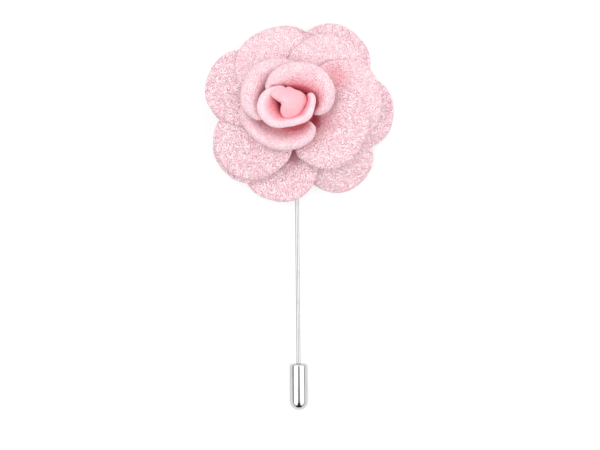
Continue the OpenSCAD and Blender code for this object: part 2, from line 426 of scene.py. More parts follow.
# Three copies of one crepe, whose contrast is painted light and shade.
petal_cloth = crepe_cloth("petal_crepe", contrast=1.1)
lit_cloth = crepe_cloth("lit_petal_crepe", contrast=0.8)
cup_cloth = crepe_cloth("cup_crepe", contrast=0.6)

# %% [markdown]
# ## The bud's satin
# The bud and the ring round it are pressed much harder than the petals, until the threads close up:
# their cloth is smooth and a little glossy. A plain pink would look like plastic, so the same weave
# stays in it, as a faint grain on the ring, with dark pores and a deeper pink painted in as shade only
# in the depths.

# %% Pressed satin
SATIN_PINK = (0.98, 0.60, 0.67, 1)
SATIN_LIGHT = (1.0, 0.69, 0.745, 1)
SATIN_TONE_SHARE = 0.6
SATIN_SEAM_SHADE_SHARE = 0.4
SATIN_PORE_SHARE = 0.35
SATIN_SHADE_PORES_FROM = 0.68
SATIN_CLOUD_SCALE = 0.4
SATIN_CLOUD_EDGE = (0.3, 0.7)
SATIN_ROUGH = 0.5
CLOUD_ROUGH = 0.15
SATIN_BUMP = 0.2
SATIN_THREAD_HEIGHT = 0.06


def pressed_satin():
    material, start, shader = new_finish("bud_satin", Specular_IOR_Level=0.1)
    bulge, tone, pore, flat = weave(start)
    cloud, painted_shade_and_tint = cloud_and_shade_and_tint(start, flat, SATIN_CLOUD_SCALE)
    colour = cloud.step(*SATIN_CLOUD_EDGE).mix(SATIN_PINK, SATIN_LIGHT)
    # Painted highlights of the threads, fewer where there is painted shade or the bud's tint.
    colour = (tone * (SATIN_TONE_SHARE - SATIN_TONE_SHARE * painted_shade_and_tint)).mix(colour, THREAD_HIGHLIGHT)
    # Painted shade in the seams between threads.
    colour = ((1 - bulge) * SATIN_SEAM_SHADE_SHARE).mix(colour, SEAM_SHADE_AND_CLOUD_PINK)
    # A deeper pink: painted shade in the depths, and the bud's flat tint on its top.
    colour = (painted_shade_and_tint * SHADE_AND_TINT_SHARE).mix(colour, SHADE_AND_TINT_PINK)
    # Faint pores all over as grain, and full dark pores painted only in the deepest painted shade.
    shown = SATIN_PORE_SHARE * (1 - painted_shade_and_tint) + painted_shade_and_tint.step(SATIN_SHADE_PORES_FROM, 1.0)
    feed(shader, "Base Color", (pore * shown).mix(colour, PORE_PINK))
    feed(shader, "Roughness", SATIN_ROUGH + CLOUD_ROUGH * cloud)
    bump = start.node("ShaderNodeBump", {},
                      {"Height": bulge, "Strength": SATIN_BUMP, "Distance": SATIN_THREAD_HEIGHT * MM})
    feed(shader, "Normal", bump)
    return material


satin = pressed_satin()

# %% [markdown]
# ## The metal
# Needle, pad and cap are plated steel. A polished metal is a mirror, so its looks are those of the
# room: its own colour is a plain light grey, and a long fine noise along the needle stands for the
# drawing marks that blur the mirror a little. Small dull smudges are where fingers have been.

# %% Plated metal
MARKS_ACROSS = 9000
MARKS_ALONG = 500
SMUDGE_SCALE = 450.0
SMUDGE_EDGE = (0.45, 0.75)
POLISH = 0.05
MARK_DEPTH = 0.05
SMUDGE_DULL = 0.04
SMUDGE_DARK = 0.06
COLD = 0.01


def plated_metal(name, tone):
    material, start, shader = new_finish(name, Metallic=1.0)
    place = start.node("ShaderNodeTexCoord", out="Object")
    drawn = start.node("ShaderNodeMapping", {},
                       {"Vector": place, "Scale": (MARKS_ACROSS, MARKS_ALONG, MARKS_ACROSS)})
    mark = start.node("ShaderNodeTexNoise", {}, {"Vector": drawn, "Scale": 1.0, "Detail": 2.0})
    smudge = start.node("ShaderNodeTexNoise", {}, {"Vector": place, "Scale": SMUDGE_SCALE, "Detail": 2.0})
    dull = smudge.step(*SMUDGE_EDGE)
    worn = tone - SMUDGE_DARK
    feed(shader, "Base Color", dull.mix((tone, tone, tone + COLD, 1), (worn, worn, worn + COLD, 1)))
    feed(shader, "Roughness", POLISH + MARK_DEPTH * mark + SMUDGE_DULL * dull)
    return material


needle_metal = plated_metal("needle_metal", tone=0.59)
cap_metal = plated_metal("cap_metal", tone=0.66)

# %% [markdown]
# ## Spread petals
# Two layers of round petals lie flat round the rose, like the blades of a pinwheel: each lies over
# its neighbour on one side and under the one on the other side. A row of a table is one petal: where
# it points, how far out its middle lies, its half length and both half widths, how square its inner
# end is, and how far its outer edge droops.

# %% Tables of the spread petals, in degrees round the flower's middle and in millimetres
DIRECTION, DISTANCE, HALF_L, WIDE_LEFT, WIDE_RIGHT, ROUNDNESS, DROOP = range(7)
BACK_PETALS = [
    (50, 14.0, 11.4, 10.4, 10.4, 1.5, 4.9),
    (104, 12.6, 9.2, 9.6, 9.6, 1.3, 5.0),
    (163, 13.0, 10.2, 9.8, 9.8, 1.3, 4.4),
    (221, 14.0, 11.2, 9.8, 9.8, 1.3, 1.7),
    (256, 14.8, 10.6, 10.1, 10.1, 1.8, 1.6),
    (310, 14.1, 12.6, 10.2, 9.9, 1.3, 4.4),
    (355, 15.2, 11.2, 10.0, 10.0, 1.5, 4.5),
]
MIDDLE_PETALS = [
    (6.5, 12.2, 10.9, 10.7, 10.7, 2.3, 3.2),
    (45, 10.4, 11.8, 10.5, 10.1, 2.3, 3.8),
    (112, 10.8, 10.9, 11.1, 10.6, 2.0, 3.8),
    (161, 13.0, 11.2, 9.6, 10.6, 1.8, 3.8),
    (218, 13.1, 11.1, 10.5, 10.2, 2.3, 3.8),
    (328, 10.3, 10.3, 11.0, 11.0, 3.2, 3.0),
]
print("spread petals:", len(BACK_PETALS), "behind and", len(MIDDLE_PETALS), "in the middle")

# %% [markdown]
# What all petals of a layer share is kept with the layer. It climbs a little on its way out and then
# droops. Its hollows are where a hot iron pressed the cloth down beside the rose, each given by its
# place from the flower's middle, its reach and its depth, and they get painted shade. On the middle
# layer, the petals that point up to lit_to degrees face the light, so their crepe is painted with less
# contrast, as painted light.

# %% The two layers
BACK = SimpleNamespace(
    petals=BACK_PETALS, inner_r=3.6, rests_on="needle_and_pad", lit_to=0, ripple_row=7,
    base_z=4.9, rise=0.2, rise_from=6, rise_to=12, droop_from=17, droop_to=27,
    hollows=[(-0.8, -12.05, 4.5, 1.3)])
MIDDLE = SimpleNamespace(
    petals=MIDDLE_PETALS, inner_r=4.4, rests_on="back_petal_1_cloth", lit_to=130, ripple_row=6,
    base_z=8.4, rise=1.2, rise_from=7, rise_to=13, droop_from=13, droop_to=25,
    hollows=[(10.8, 7.55, 6.0, 1.3), (4.0, -4.05, 3.2, 3.2)])
print("the layers lie", BACK.base_z, "and", MIDDLE.base_z, "mm up")

# %% [markdown]
# A pinwheel can't be made of flat discs, because each disc would cut its neighbours. Here a petal
# climbs as it turns round the flower: the number of petals that lie below grows by one from each
# petal to the next, smoothly, and a petal stands higher or lower than the layer by what that number
# differs from its own. Waves and hollows are the same for a whole layer, so its petals stay clear.

# %% Heights of a layer
OVERLAP_STEP = 1.45
OVERLAP_REACH = 10
RIPPLES = [(0.3, 8, 0), (0.1, 3.4, 5)]


def layer_height(layer, r, droop):
    """Height of a layer at a distance from the flower's middle."""
    climb = layer.rise * ease(layer.rise_from, layer.rise_to, r)
    return layer.base_z + climb - droop * ease(layer.droop_from, layer.droop_to, r)


def below(layer, angle):
    """How many petals of a layer lie below at an angle, which climbs by one from petal to petal."""
    rows = len(layer.petals)
    steps = [(layer.petals[k % rows][DIRECTION] + 360 * (k // rows), k) for k in range(-rows, 2 * rows)]
    return smooth(steps, angle, OVERLAP_REACH)


def hollow(layer, x, y):
    """How deep a point lies in a hollow of its layer."""
    return max(depth * (1 - ease(0, reach, math.hypot(x - flower_x - right, y - flower_y - back)))
               for right, back, reach, depth in layer.hollows)


def ripple(layer, x, y):
    """Waves of a layer's cloth, given by their height, length and row of the noise."""
    return sum(high * noise.noise(Vector((x / long, y / long, layer.ripple_row + row)))
               for high, long, row in RIPPLES)


print(f"the middle layer is {layer_height(MIDDLE, 13, 0):.1f} mm up at 13 mm from the flower's middle")

# %% [markdown]
# A petal is a disc whose rim is a superellipse, a little squarer than an ellipse, and whose edge is
# pressed down in a small roll. A circle that is squashed by hand would do for one petal. A formula
# does for all 13: it takes a share of the way to the rim and an angle, and gives the place in space,
# the place on the flat cloth, and the point's painted shade, darker in the hollows and near the rose.

# %% Point of a spread petal
OUTER_ROUNDNESS = 2.3
SOLID_CLOTH = 1.0
RIM_ROLL = 0.7
RIM_TURN = math.radians(100)
HOLLOW_SHADE = 0.6
HOLLOW_SHADE_MOST = 0.75
ROSE_SHADE = (6, 13)


def petal_rim(layer, row, a):
    """Distance from the middle of a petal to its rim, towards an angle."""
    inner = math.cos(a) < 0
    n = row[ROUNDNESS] if inner else OUTER_ROUNDNESS
    half_l = row[DISTANCE] - layer.inner_r if inner else row[HALF_L]
    half_w = row[WIDE_LEFT] if math.sin(a) > 0 else row[WIDE_RIGHT]
    return (abs(math.cos(a) / half_l) ** n + abs(math.sin(a) / half_w) ** n) ** (-1 / n)


def petal_point(layer, i, t, a):
    """Place in space, place on the flat cloth and painted shade of a point, a share t of the way to the edge.
    """
    row = layer.petals[i]
    flat_reach = petal_rim(layer, row, a) - RIM_ROLL
    path = t * (flat_reach + RIM_ROLL * RIM_TURN)
    turn = max(0.0, (path - flat_reach) / RIM_ROLL)
    d = min(path, flat_reach) + RIM_ROLL * math.sin(turn)
    u = row[DISTANCE] + d * math.cos(a)
    v = d * math.sin(a)
    r = math.hypot(u, v)
    angle = row[DIRECTION] + math.degrees(math.atan2(v, u))
    x = flower_x + r * math.cos(math.radians(angle))
    y = flower_y + r * math.sin(math.radians(angle))
    pressed = hollow(layer, x, y)
    z = layer_height(layer, r, row[DROOP]) + SOLID_CLOTH + OVERLAP_STEP * (below(layer, angle) - i)
    z += ripple(layer, x, y) - pressed - RIM_ROLL * (1 - math.cos(turn))
    # Painted shade: darker in the layer's hollows and towards the rose.
    painted_shade_and_tint = max(min(HOLLOW_SHADE_MOST, HOLLOW_SHADE * pressed), 1 - ease(*ROSE_SHADE, r))
    return Vector((x, y, z)) * MM, Vector((path * math.cos(a), path * math.sin(a))), painted_shade_and_tint


print(f"the first middle petal reaches {petal_rim(MIDDLE, MIDDLE_PETALS[0], 0):.1f} mm outwards")

# %% [markdown]
# ## From surface to cloth
# The weave needs the flat cloth's coordinates, so they are kept in a UV map, and the painted shade in a
# vertex attribute. The cloth gets its thickness from a Solidify modifier, downwards from the visible
# side, and one level of subdivision rounds the cut edge.


# %% Flat places, depths and thickness of a cloth
def lay_cloth(bm, flat_places, shades_and_tints):
    """Writes the flat cloth's coordinates into a UV map, and each point's painted shade and tint into an
    attribute.
    """
    bm.verts.index_update()
    flat_at = {vert.index: place for vert, place in flat_places.items()}
    shade_and_tint_at = {vert.index: depth for vert, depth in shades_and_tints.items()}
    layer = bm.loops.layers.uv.new("cloth")
    painted_shade_and_tint = bm.verts.layers.float.new("painted_shade_and_tint")
    for vert in bm.verts:
        vert[painted_shade_and_tint] = shade_and_tint_at[vert.index]
    for face in bm.faces:
        for loop in face.loops:
            loop[layer].uv = flat_at[loop.vert.index]


def round_off(obj):
    """One level of subdivision, the same in the view and in the render."""
    rounding = obj.modifiers.new("rounding", "SUBSURF")
    rounding.levels = 1
    rounding.render_levels = 1


def thicken(obj, thickness, offset):
    """Gives a surface a wall, below it where the offset is -1 and half on each side where it is 0."""
    wall = obj.modifiers.new("wall", "SOLIDIFY")
    wall.thickness = thickness * MM
    wall.offset = offset
    round_off(obj)


print("a cloth keeps its flat places in the UV map cloth and its depths in the attribute deep")

# %% [markdown]
# ## Making the spread petals
# A spun disc has its rings crowded towards the rim, where the roll needs them. Each of its points is
# carried to its place on the petal. A cloth simulation isn't used: such petals are stiffened and
# pressed on hot irons, and keep their form.

# %% The 13 spread petals
CLOTH = 0.5
PETAL_RINGS = 16
PETAL_SPOKES = 84
CROWDING = 1.5


def spread_petal(layer, i, name):
    shares = [1 - (1 - k / PETAL_RINGS) ** CROWDING for k in range(PETAL_RINGS + 1)]
    bm = spun([(t, 0, 0) for t in shares], PETAL_SPOKES, (0, 0, 1))
    flat_places = {}
    shades_and_tints = {}
    for vert in bm.verts:
        t = math.hypot(vert.co.x, vert.co.y)
        a = math.atan2(vert.co.y, vert.co.x)
        vert.co, flat_places[vert], shades_and_tints[vert] = petal_point(layer, i, t, a)
    bmesh.ops.recalc_face_normals(bm, faces=bm.faces)
    if sum(face.normal.z for face in bm.faces) < 0:
        bmesh.ops.reverse_faces(bm, faces=bm.faces)
    lay_cloth(bm, flat_places, shades_and_tints)
    area = sum(face.calc_area() for face in bm.faces)
    cloth = lit_cloth if layer.petals[i][DIRECTION] < layer.lit_to else petal_cloth
    obj = piece(bm, name + "_cloth", cloth, FLOWER)
    thicken(obj, CLOTH, -1)
    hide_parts(name)


for i in range(len(BACK_PETALS)):
    spread_petal(BACK, i, f"back_petal_{i + 1}")
for i in range(len(MIDDLE_PETALS)):
    spread_petal(MIDDLE, i, f"middle_petal_{i + 1}")

# %% [markdown]
# ## Cupped petals
# Round the bud stand four petals whose foot is gathered and whose rim rolls outwards. Seen from above
# each is a band that bends round the rose. A row of a table is one place round the rose: how far
# out and how high the rolled rim is there, and where the foot is.

# %% Tables of the cupped petals, in degrees round the rose's middle and in millimetres
ANGLE, RIM_R, RIM_Z, FOOT_R, FOOT_UP = range(5)
CUP_LEFT = [
    (70, 10.6, 14.4, 8.0, 0),
    (95, 12.2, 15.0, 7.3, 0),
    (128, 13.2, 16.0, 6.7, 0),
    (155, 12.9, 16.8, 6.5, 0),
    (186, 11.8, 17.0, 6.5, 0),
    (214, 8.9, 16.6, 6.5, 0),
]
CUP_BOTTOM = [
    (182, 12.4, 13.6, 8.2, 0.3),
    (205, 12.9, 13.8, 8.2, 0.3),
    (225, 12.6, 14.6, 8.0, 0),
    (250, 12.4, 15.2, 7.8, 0),
    (280, 12.1, 15.4, 7.6, 0),
    (308, 11.6, 15.2, 7.4, 0),
    (322, 9.8, 14.2, 7.2, 0),
]
CUP_RIGHT = [
    (-22, 9.0, 15.6, 7.0, 0.6),
    (-4, 12.0, 17.0, 6.6, 0.6),
    (20, 13.2, 17.8, 6.4, 0.8),
    (50, 12.8, 18.2, 4.9, 2.0),
    (90, 10.4, 18.4, 4.6, 3.7),
    (115, 9.2, 18.3, 5.0, 4.2),
    (133, 8.2, 18.0, 5.9, 3.0),
    (147, 7.4, 17.2, 6.1, 0),
]
CUP_RING = [
    (96, 4.5, 18.3, 3.0, 0.8),
    (114, 5.1, 18.6, 3.1, 0.8),
    (134, 6.0, 18.7, 3.3, 0.8),
    (152, 6.9, 18.7, 3.0, 0.8),
    (168, 7.5, 18.7, 2.4, 0.8),
    (194, 8.1, 18.8, 2.0, 0.8),
    (235, 7.4, 19.0, 2.8, 0.8),
    (270, 6.1, 19.0, 3.8, 0.8),
    (300, 6.3, 19.0, 4.0, 1.2),
    (323, 7.3, 19.0, 4.4, 1.8),
    (350, 7.4, 19.0, 5.1, 3.0),
    (372, 8.0, 18.9, 5.9, 4.6),
    (384, 7.5, 18.2, 5.9, 5.4),
]
print("the ring goes", CUP_RING[-1][ANGLE] - CUP_RING[0][ANGLE], "degrees round the bud")

# %% [markdown]
# Each cup has a form of its own: the band is how far the rim's inner slope reaches inwards, the roll
# is the radius in which the rim turns over, the tuck draws the foot in behind the next petal, bow and
# rise swell the wall, and the corner is the share of the length over which the upper corners are cut
# round. Two dips, one for each end, say how far up the wall the full painted shade of the foot stays,
# before it fades towards the crest.

# %% Forms of the four cups
SHORT_TURN = math.radians(120)
LONG_TURN = math.radians(172)
CUPS = [
    SimpleNamespace(name="cup_left", rows=CUP_LEFT, cloth=cup_cloth, slot="petal_cloth", thickness=0.6,
                    band=3.2, roll=1.3, turn=SHORT_TURN, tuck=0, bow=0.2, rise=0.5, corner=0.16,
                    shade_dips=(0.0, 0.08)),
    SimpleNamespace(name="cup_bottom", rows=CUP_BOTTOM, cloth=cup_cloth, slot="petal_cloth", thickness=0.6,
                    band=1.8, roll=0.95, turn=LONG_TURN, tuck=2.5, bow=0.2, rise=0.2, corner=0.14,
                    shade_dips=(-0.3, 0.3)),
    SimpleNamespace(name="cup_right", rows=CUP_RIGHT, cloth=cup_cloth, slot="petal_cloth", thickness=0.6,
                    band=2.2, roll=1.2, turn=SHORT_TURN, tuck=0, bow=0.6, rise=0.5, corner=0.10,
                    shade_dips=(0.4, -0.25)),
    SimpleNamespace(name="cup_ring", rows=CUP_RING, cloth=satin, slot="bud_satin", thickness=0.7,
                    band=1.0, roll=0.9, turn=LONG_TURN, tuck=0, bow=0, rise=0.8, corner=0.06,
                    shade_dips=(0.32, 0.46)),
]
print("cups:", ", ".join(cup.name for cup in CUPS))

# %% [markdown]
# A section of a cup runs from the foot up the wall to the crest, and then over the rim. The wall is a
# cubic curve, because four points are enough for its swell, and the rim is a part of a circle. Towards
# one end the roll gets thinner, as the cloth there runs out.

# %% Section of a cup
CUP_FOOT_Z = 11.0
WALL_SHARE = 0.62
CUP_REACH = 7
LEAST_SLOPE = 0.3
TUCK_AT = (0.15, 0.4)
THIN_AT = (0.75, 1)
END_THIN = 0.35
ROLL_DOWN = 1.1


def cup_section(cup, share, angle, up):
    """Radius and height at an angle, a share up of the way from the foot over the rim."""
    rim_r, rim_z, foot_r, foot_up = [
        smooth([(row[ANGLE], row[column]) for row in cup.rows], angle, CUP_REACH)
        for column in (RIM_R, RIM_Z, FOOT_R, FOOT_UP)]
    crest = Vector((rim_r - cup.thickness / 2 - cup.roll, rim_z - cup.thickness / 2))
    foot = Vector((foot_r - cup.tuck * ease(*TUCK_AT, share), CUP_FOOT_Z + foot_up))
    if up <= WALL_SHARE:
        wall = Vector((foot_r + cup.bow, foot.y + (crest.y - foot.y) * cup.rise))
        slope = Vector((max(foot.x + LEAST_SLOPE, crest.x - cup.band), crest.y))
        t = up / WALL_SHARE
        u = 1 - t
        return u ** 3 * foot + 3 * u * u * t * wall + 3 * u * t * t * slope + t ** 3 * crest
    roll = cup.roll * (1 - END_THIN * ease(*THIN_AT, share))
    bend = cup.turn * (up - WALL_SHARE) / (1 - WALL_SHARE)
    return crest + roll * Vector((math.sin(bend), ROLL_DOWN * (math.cos(bend) - 1)))


print("share of a section that is wall:", WALL_SHARE)

# %% [markdown]
# Round the rose the sections follow each other at even angles. A slow noise lifts and lowers them by a
# tenth of a millimetre, because no pressed cloth is quite even.

# %% Point of a cup
CUP_WAVE = 0.12
CUP_WAVE_LENGTH = 4


def cup_point(cup, share, up):
    """Point of a cup at a share of the way round and a share of the way up."""
    angle = cup.rows[0][ANGLE] + (cup.rows[-1][ANGLE] - cup.rows[0][ANGLE]) * share
    p = cup_section(cup, share, angle, up)
    x = rose_x + p.x * math.cos(math.radians(angle))
    y = rose_y + p.x * math.sin(math.radians(angle))
    wave = CUP_WAVE * noise.noise(Vector((x / CUP_WAVE_LENGTH, y / CUP_WAVE_LENGTH, p.y / CUP_WAVE_LENGTH)))
    return Vector((x, y, p.y + wave)) * MM


def cup_painted_shade(cup, share, up):
    """Painted shade of a point of a cup, from 1 at the foot to 0 on the crest."""
    dip = cup.shade_dips[0] + (cup.shade_dips[1] - cup.shade_dips[0]) * share
    return 1 - ease(dip, WALL_SHARE, up)


print(f"the ring's crest at its left: {cup_point(CUPS[3], 0.3, WALL_SHARE).z / MM:.1f} mm up")

# %% [markdown]
# A flat grid is carried onto these sections. Its columns near both ends are kept lower, along a quarter
# of an ellipse, so the upper corners are cut round, as the real petals' are. The flat size is measured
# along the mean rim and up the middle section.

# %% The four cups
CUP_COLUMNS = 72
CUP_ROWS = 26
CORNER_LOW = 0.45


def end_height(cup, share):
    """How much of the way up the cloth reaches, which is less near its cut corners."""
    end = min(1, min(share, 1 - share) / cup.corner)
    return CORNER_LOW + (1 - CORNER_LOW) * math.sqrt(1 - (1 - end) ** 2)


def cupped_petal(cup):
    bm = bmesh.new()
    bmesh.ops.create_grid(bm, x_segments=CUP_COLUMNS, y_segments=CUP_ROWS, size=1)
    shares = {vert: (vert.co.x + 1) / 2 for vert in bm.verts}
    ups = {vert: (vert.co.y + 1) / 2 * end_height(cup, share) for vert, share in shares.items()}
    for vert, share in shares.items():
        vert.co = cup_point(cup, share, ups[vert])
    middle = [cup_point(cup, 0.5, k / CUP_ROWS) for k in range(CUP_ROWS + 1)]
    length = sum((q - p).length for p, q in zip(middle, middle[1:])) / MM
    mean_r = sum(row[RIM_R] for row in cup.rows) / len(cup.rows)
    width = math.radians(cup.rows[-1][ANGLE] - cup.rows[0][ANGLE]) * mean_r
    flat_places = {vert: Vector((share * width, ups[vert] * length)) for vert, share in shares.items()}
    lay_cloth(bm, flat_places, {vert: cup_painted_shade(cup, share, ups[vert]) for vert, share in shares.items()})
    area = sum(face.calc_area() for face in bm.faces)
    obj = piece(bm, cup.name + "_cloth", cup.cloth, FLOWER)
    thicken(obj, cup.thickness, 0)
    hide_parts(cup.name)
    width * MM
    length * MM
    min(area, width * length * MM * MM)
    print(f"{cup.name}: cut {width:.1f} x {length:.1f} mm")


for cup in CUPS:
    cupped_petal(cup)

# %% [markdown]
# ## The bud
# In the middle one petal is folded into a tight cone. Its last fold lies over the others and ends on
# the left in a crisp edge. A folded sheet would hide most of itself, so the bud is one closed form: a
# spun line of levels whose rings are stretched to the outline of that fold. The crisp edge is high
# where the fold lies over and low where it goes under the ring, and the flank leans in below it.

# %% Tables of the bud, in degrees round the rose's middle and in millimetres
BUD_REACH = [
    (-96, 3.8), (-60, 3.9), (-27, 4.1), (5, 4.4), (34, 4.0), (60, 3.4), (98, 4.0), (112, 4.6), (124, 5.2),
    (139, 5.5), (149, 5.4), (156, 4.4), (164, 3.0), (172, 2.0), (184, 1.5), (200, 1.5), (220, 2.1),
    (244, 3.1), (264, 3.8)]
BUD_EDGE_Z = [
    (-96, 18.0), (-60, 17.6), (-27, 17.4), (5, 17.3), (34, 17.4), (69, 17.8), (98, 18.2), (120, 18.3),
    (139, 18.4), (149, 18.5), (156, 18.9), (164, 19.3), (203, 19.7), (236, 19.2), (264, 18.0)]
FLANK_OUT = [
    (-96, 0.4), (-60, 0.5), (-27, 0.5), (-8, 0.7), (12, 1.4), (34, 1.2), (60, 0.9), (88, 0.8), (105, -0.8),
    (120, -2.0), (139, -2.4), (150, -2.2), (162, -0.5), (180, 0), (203, 0.1), (236, 0.3), (264, 0.4)]
BUD_START = BUD_REACH[0][0]
print("the fold's crisp edge climbs to", max(z for angle, z in BUD_EDGE_Z), "mm")

# %% [markdown]
# Rings up to a certain number climb down the top of the bud, and a few more are its flank. A ring's
# number says what it is, so that the spun disc can be carried to the bud ring by ring.

# %% Point of the bud
BUD_TOP = 20.9
BUD_TOP_RINGS = 14
BUD_CROWN = 1.7
BUD_FLANK = [(0.15, 0.2), (0.55, 0.5), (0.9, 0.9), (1.0, 3.0)]
BUD_LEAN_LEFT = 0.6
BUD_LEAN_BACK = 0.4
BUD_READING = 5


def bud_point(ring, a):
    """Point of the bud on one of its rings, at an angle."""
    degrees = (math.degrees(a) - BUD_START) % 360 + BUD_START
    reach = smooth(BUD_REACH, degrees, BUD_READING)
    edge_z = smooth(BUD_EDGE_Z, degrees, BUD_READING)
    if ring <= BUD_TOP_RINGS:
        t = ring / BUD_TOP_RINGS
        r = reach * t
        z = BUD_TOP - (BUD_TOP - edge_z) * t ** BUD_CROWN
    else:
        out, down = BUD_FLANK[ring - BUD_TOP_RINGS - 1]
        r = reach + out * smooth(FLANK_OUT, degrees, BUD_READING)
        z = edge_z - down
    lean = 1 - min(1, ring / BUD_TOP_RINGS)
    x = rose_x + r * math.cos(a) - BUD_LEAN_LEFT * lean
    y = rose_y + r * math.sin(a) + BUD_LEAN_BACK * lean
    return Vector((x, y, z)) * MM


print(f"the bud's tip is {bud_point(0, 0).z / MM:.1f} mm up")

# %% [markdown]
# Below the flank the cone narrows to a small foot on the flower's middle: the last ring is extruded,
# drawn in and closed. The bud is padded, since it is folded cloth all through.

# %% The bud
BUD_SPOKES = 96
BUD_TINT = 0.53
BUD_SHADE_RINGS = 3
BUD_FOOT_R = 1.8
BUD_FOOT_Z = 4.0


def make_bud():
    rings = BUD_TOP_RINGS + len(BUD_FLANK)
    bm = spun([(k, 0, 0) for k in range(rings + 1)], BUD_SPOKES, (0, 0, 1))
    flat_places = {}
    shades_and_tints = {}
    for vert in bm.verts:
        ring = round(math.hypot(vert.co.x, vert.co.y))
        vert.co = bud_point(ring, math.atan2(vert.co.y, vert.co.x))
        flat_places[vert] = Vector((vert.co.x, vert.co.y)) / MM
        # The bud's top gets a flat tint, its flank a painted shade that grows downwards, and the foot full
        # painted shade.
        shades_and_tints[vert] = max(BUD_TINT, ease(BUD_TOP_RINGS, BUD_TOP_RINGS + BUD_SHADE_RINGS, ring))
    rim = [edge for edge in bm.edges if edge.is_boundary]
    foot = bmesh.ops.extrude_edge_only(bm, edges=rim)["geom"]
    for vert in [item for item in foot if isinstance(item, bmesh.types.BMVert)]:
        out = Vector((vert.co.x / MM - rose_x, vert.co.y / MM - rose_y)).normalized() * BUD_FOOT_R
        flat_places[vert] = out
        shades_and_tints[vert] = 1
        vert.co = Vector((flower_x + out.x, flower_y + out.y, BUD_FOOT_Z)) * MM
    bmesh.ops.contextual_create(bm, geom=[edge for edge in bm.edges if edge.is_boundary])
    bmesh.ops.recalc_face_normals(bm, faces=bm.faces)
    lay_cloth(bm, flat_places, shades_and_tints)
    obj = piece(bm, "bud_fold", satin, FLOWER)
    round_off(obj)
    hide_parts("bud")


make_bud()

# %% [markdown]
# ## Needle and pad
# The needle is drawn wire, so it is made as on a lathe: half a profile, spun round the needle's line.
# The pad is a stamped disc with a soft edge, spun the same way round its own middle. A collar of
# solder joins the two for good, so they are one piece.

# %% Lathe
LATHE_STEPS = 64


def turned(profile):
    """Spins (radius, y) points, in millimetres, round the needle's line."""
    points = [Vector((needle_x + r, y, needle_z)) * MM for r, y in profile]
    return spun(points, LATHE_STEPS, (0, 1, 0), Vector((needle_x, 0, needle_z)) * MM)


def add_mesh(bm, other):
    """Moves the contents of one mesh into another."""
    mesh = bpy.data.meshes.new("part")
    other.to_mesh(mesh)
    other.free()
    bm.from_mesh(mesh)
    bpy.data.meshes.remove(mesh)


print("the lathe makes", LATHE_STEPS, "steps a turn")

# %% [markdown]
# From its point the needle goes up through a narrow end, which the cap grips, and a short neck to its
# full thickness. Where it meets the pad, the solder swells round it and ends in a soft shoulder.

# %% Profile of the needle
NEEDLE_R = 0.55
POINT_R = 0.45
POINT_FLAT = (0.05, 0.02)
SOLDER_R = 0.8
SOLDER_L = 9.8
SOLDER_EDGE = 0.2
SOLDER_END = 0.8
TAPER_L = 0.6
SHOULDER_R = 0.93
SHOULDER_L = 0.45
NECK_L = 0.8
NARROW_L = 7.8
TIP_L = 1.4


def needle_profile():
    """Half a profile of the needle, from its point to the end of the solder."""
    mouth = cap_high.y
    tip = mouth - NECK_L - NARROW_L - TIP_L
    solder_start = flower_y - pad_r - TAPER_L
    solder_end = solder_start + SOLDER_L
    return [(0, tip), (POINT_FLAT[0], tip + POINT_FLAT[1]), (POINT_R, mouth - NECK_L - NARROW_L),
            (POINT_R, mouth - NECK_L), (NEEDLE_R, mouth), (NEEDLE_R, solder_start - TAPER_L),
            (SOLDER_R * SHOULDER_R, solder_start - TAPER_L * SHOULDER_L), (SOLDER_R, solder_start),
            (SOLDER_R, solder_end - SOLDER_EDGE), (SOLDER_R * SOLDER_END, solder_end), (0, solder_end)]


print(f"needle: {cap_high.y - needle_profile()[0][1]:.1f} mm of it are in the cap")

# %% [markdown]
# The pad's edge is stamped: its corner is broken by a short slope and a shorter one, given as how far
# in and how far up from the corner each point lies. The same corner, turned over, ends the upper side.

# %% Needle and pad
PAD_T = 0.9
PAD_LIFT = 0.25
PAD_EDGE = [(0.25, 0), (0.08, 0.08), (0, 0.3)]


def pad_profile():
    """Half a profile of the pad, from the middle of its underside round its edge to the top."""
    low = needle_z + PAD_LIFT
    high = low + PAD_T
    under = [(pad_r - inset, low + rise) for inset, rise in PAD_EDGE]
    over = [(pad_r - inset, high - rise) for inset, rise in reversed(PAD_EDGE)]
    return [(0, low), *under, *over, (0, high)]


def make_needle():
    bm = turned(needle_profile())
    points = [Vector((flower_x + r, flower_y, z)) * MM for r, z in pad_profile()]
    add_mesh(bm, spun(points, LATHE_STEPS, (0, 0, 1), Vector((flower_x, flower_y, 0)) * MM))
    bmesh.ops.recalc_face_normals(bm, faces=bm.faces)
    obj = piece(bm, "needle_and_pad", needle_metal, FLOWER)
    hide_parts("pin_stem")
    print(f"pad: {2 * pad_r:.1f} mm across and {PAD_T} mm thick")


make_needle()

# %% [markdown]
# ## Cap
# The cap is a drawn tube with a round end. A plain capsule would show a solid end when it is pulled
# off, so its profile also goes in through the mouth and down the bore. The bore is as wide as the
# needle's narrow end and a little more, and its mouth as wide as the neck.

# %% The cap
CAP_CLEARANCE = 0.05
BORE_R = POINT_R + CAP_CLEARANCE
MOUTH_R = NEEDLE_R + CAP_CLEARANCE
MOUTH_L = NECK_L + CAP_CLEARANCE
BORE_SPARE = 0.8
BORE_DEPTH = NECK_L + NARROW_L + TIP_L + BORE_SPARE
MOUTH_CHAMFER = 0.1
MOUTH_EDGE = 0.7
QUARTER = [math.radians(10 * k) for k in range(10)]


